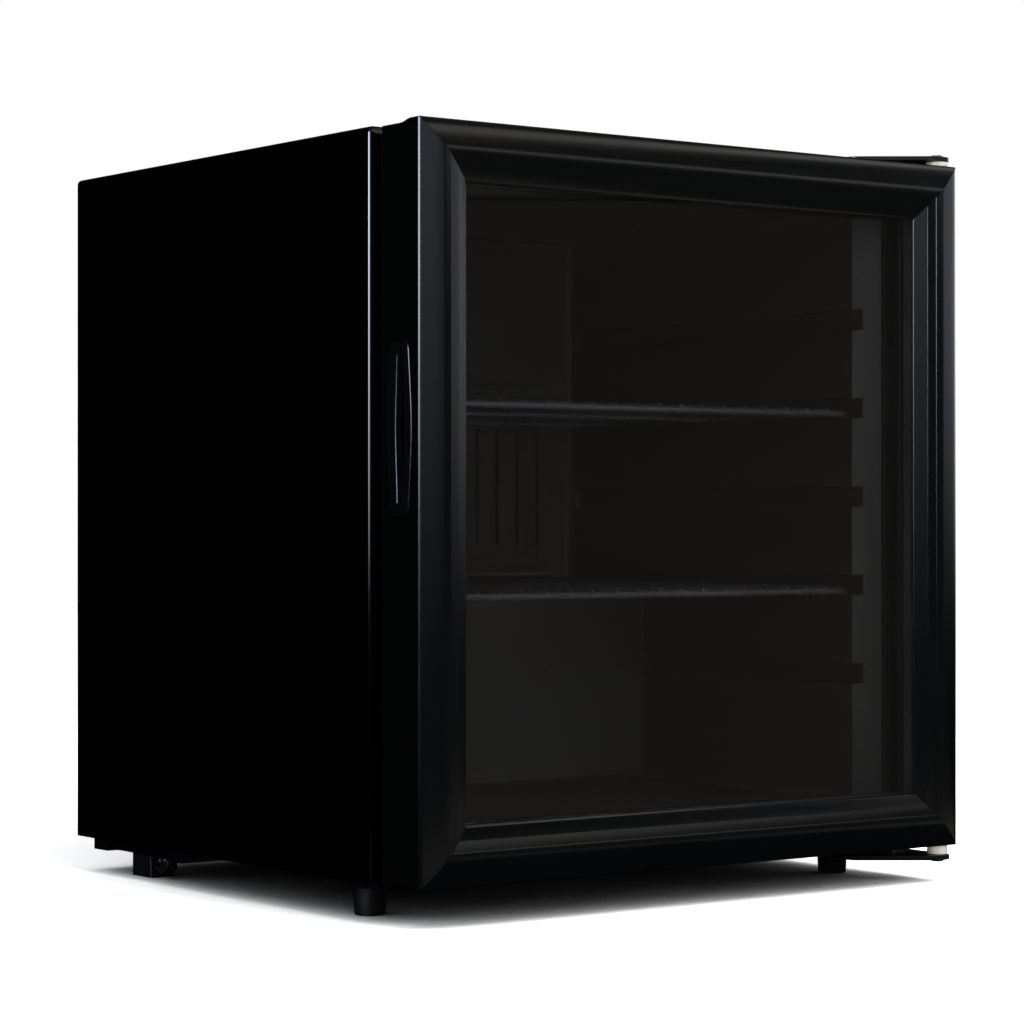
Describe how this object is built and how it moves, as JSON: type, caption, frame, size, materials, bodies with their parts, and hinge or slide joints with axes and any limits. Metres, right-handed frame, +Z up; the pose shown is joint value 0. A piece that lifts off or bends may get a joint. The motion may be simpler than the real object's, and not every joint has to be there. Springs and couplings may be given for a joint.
{
  "type": "mini fridge",
  "caption": "Countertop display fridge: black steel cabinet on levelling feet, right-hinged glass door in a ridged frame, wire shelves, fan-cooled liner and a rear compressor space.",
  "frame": {"origin": "centre of the bounding box's base, on the floor", "axes": "+X to the right of a person who faces the door, +Y from the door to the back, +Z up"},
  "size_m": [0.48, 0.4736, 0.5328],
  "materials": {
    "black_steel": "satin",
    "shelf_wire": "satin",
    "liner_plastic": "satin",
    "frame_plastic": "satin",
    "black_plastic": "matte",
    "rubber": "matte",
    "galvanised_steel": "satin",
    "zinc_plated_steel": "satin",
    "nylon": "satin",
    "copper": "satin",
    "aluminium": "satin",
    "foam": "matte",
    "glass": "polished"
  },
  "bodies": {
    "cabinet": {"cabinet_wrap": "black_steel", "rear_panel": "black_steel", "base_pan": "black_steel", "hinge_plate_top": "black_steel", "hinge_bracket_bottom": "black_steel", "base_rail_front": "black_steel", "base_rail_rear": "black_steel", "compressor": "black_steel", "condenser": "black_steel", "inner_liner": "liner_plastic", "duct_cover": "liner_plastic", "fan_frame": "black_plastic", "thermostat_body": "black_plastic", "rear_foot_left": "black_plastic", "rear_foot_right": "black_plastic", "starter_cover": "black_plastic", "drip_tray": "black_plastic", "compressor_grommet_1": "rubber", "compressor_grommet_2": "rubber", "compressor_grommet_3": "rubber", "compressor_grommet_4": "rubber", "cord_gland": "rubber", "compressor_base_plate": "galvanised_steel", "hinge_pin_top": "zinc_plated_steel", "hinge_pin_bottom": "zinc_plated_steel", "hinge_screw_top_1": "zinc_plated_steel", "hinge_screw_top_2": "zinc_plated_steel", "hinge_screw_bottom_1": "zinc_plated_steel", "hinge_screw_bottom_2": "zinc_plated_steel", "rear_axle_left": "zinc_plated_steel", "rear_axle_right": "zinc_plated_steel", "suction_tube": "copper", "discharge_tube": "copper", "filter_drier": "copper", "capillary_tube": "copper", "evaporator": "aluminium", "insulation_foam": "foam"},
    "door": {"door_stile_left": "frame_plastic", "door_stile_right": "frame_plastic", "door_rail_bottom": "frame_plastic", "door_rail_top": "frame_plastic", "door_handle": "frame_plastic", "glazing_bead": "frame_plastic", "glass_outer_pane": "glass", "glass_inner_pane": "glass", "glass_spacer": "aluminium", "door_gasket": "rubber", "hinge_bush_top": "nylon", "hinge_bush_bottom": "nylon"},
    "fan": {"fan_impeller": "black_plastic"},
    "thermostat_dial": {"thermostat_knob": "black_plastic"},
    "roller_left": {"rear_roller_left": "black_plastic"},
    "roller_right": {"rear_roller_right": "black_plastic"},
    "foot_left": {"foot_front_left": "black_plastic"},
    "foot_right": {"foot_front_right": "black_plastic"},
    "upper_shelf": {"shelf_upper": "shelf_wire"},
    "lower_shelf": {"shelf_lower": "shelf_wire"}
  },
  "joints": [
    {"name": "door_hinge", "type": "hinge", "parent": "cabinet", "child": "door", "pos_m": [0.2305, -0.2215, 0.2755], "axis": [0, 0, 1], "range_deg": [0, 120]},
    {"name": "fan_spin", "type": "hinge", "parent": "cabinet", "child": "fan", "pos_m": [0, 0.1946, 0.2927], "axis": [0, 1, 0], "continuous": true},
    {"name": "thermostat_turn", "type": "hinge", "parent": "cabinet", "child": "thermostat_dial", "pos_m": [-0.135, 0.1741, 0.4325], "axis": [0, 1, 0], "range_deg": [0, 270]},
    {"name": "roller_left_spin", "type": "hinge", "parent": "cabinet", "child": "roller_left", "pos_m": [-0.2177, 0.1267, 0.014], "axis": [1, 0, 0], "continuous": true},
    {"name": "roller_right_spin", "type": "hinge", "parent": "cabinet", "child": "roller_right", "pos_m": [0.2177, 0.1267, 0.014], "axis": [1, 0, 0], "continuous": true},
    {"name": "foot_left_turn", "type": "hinge", "parent": "cabinet", "child": "foot_left", "pos_m": [-0.2095, -0.1308, 0], "axis": [0, 0, 1], "continuous": true},
    {"name": "foot_right_turn", "type": "hinge", "parent": "cabinet", "child": "foot_right", "pos_m": [0.2095, -0.1308, 0], "axis": [0, 0, 1], "continuous": true},
    {"name": "shelf_upper_slide", "type": "slide", "parent": "cabinet", "child": "upper_shelf", "axis": [0, -1, 0], "range_m": [0, 0.018]},
    {"name": "shelf_lower_slide", "type": "slide", "parent": "cabinet", "child": "lower_shelf", "axis": [0, -1, 0], "range_m": [0, 0.018]}
  ]
}
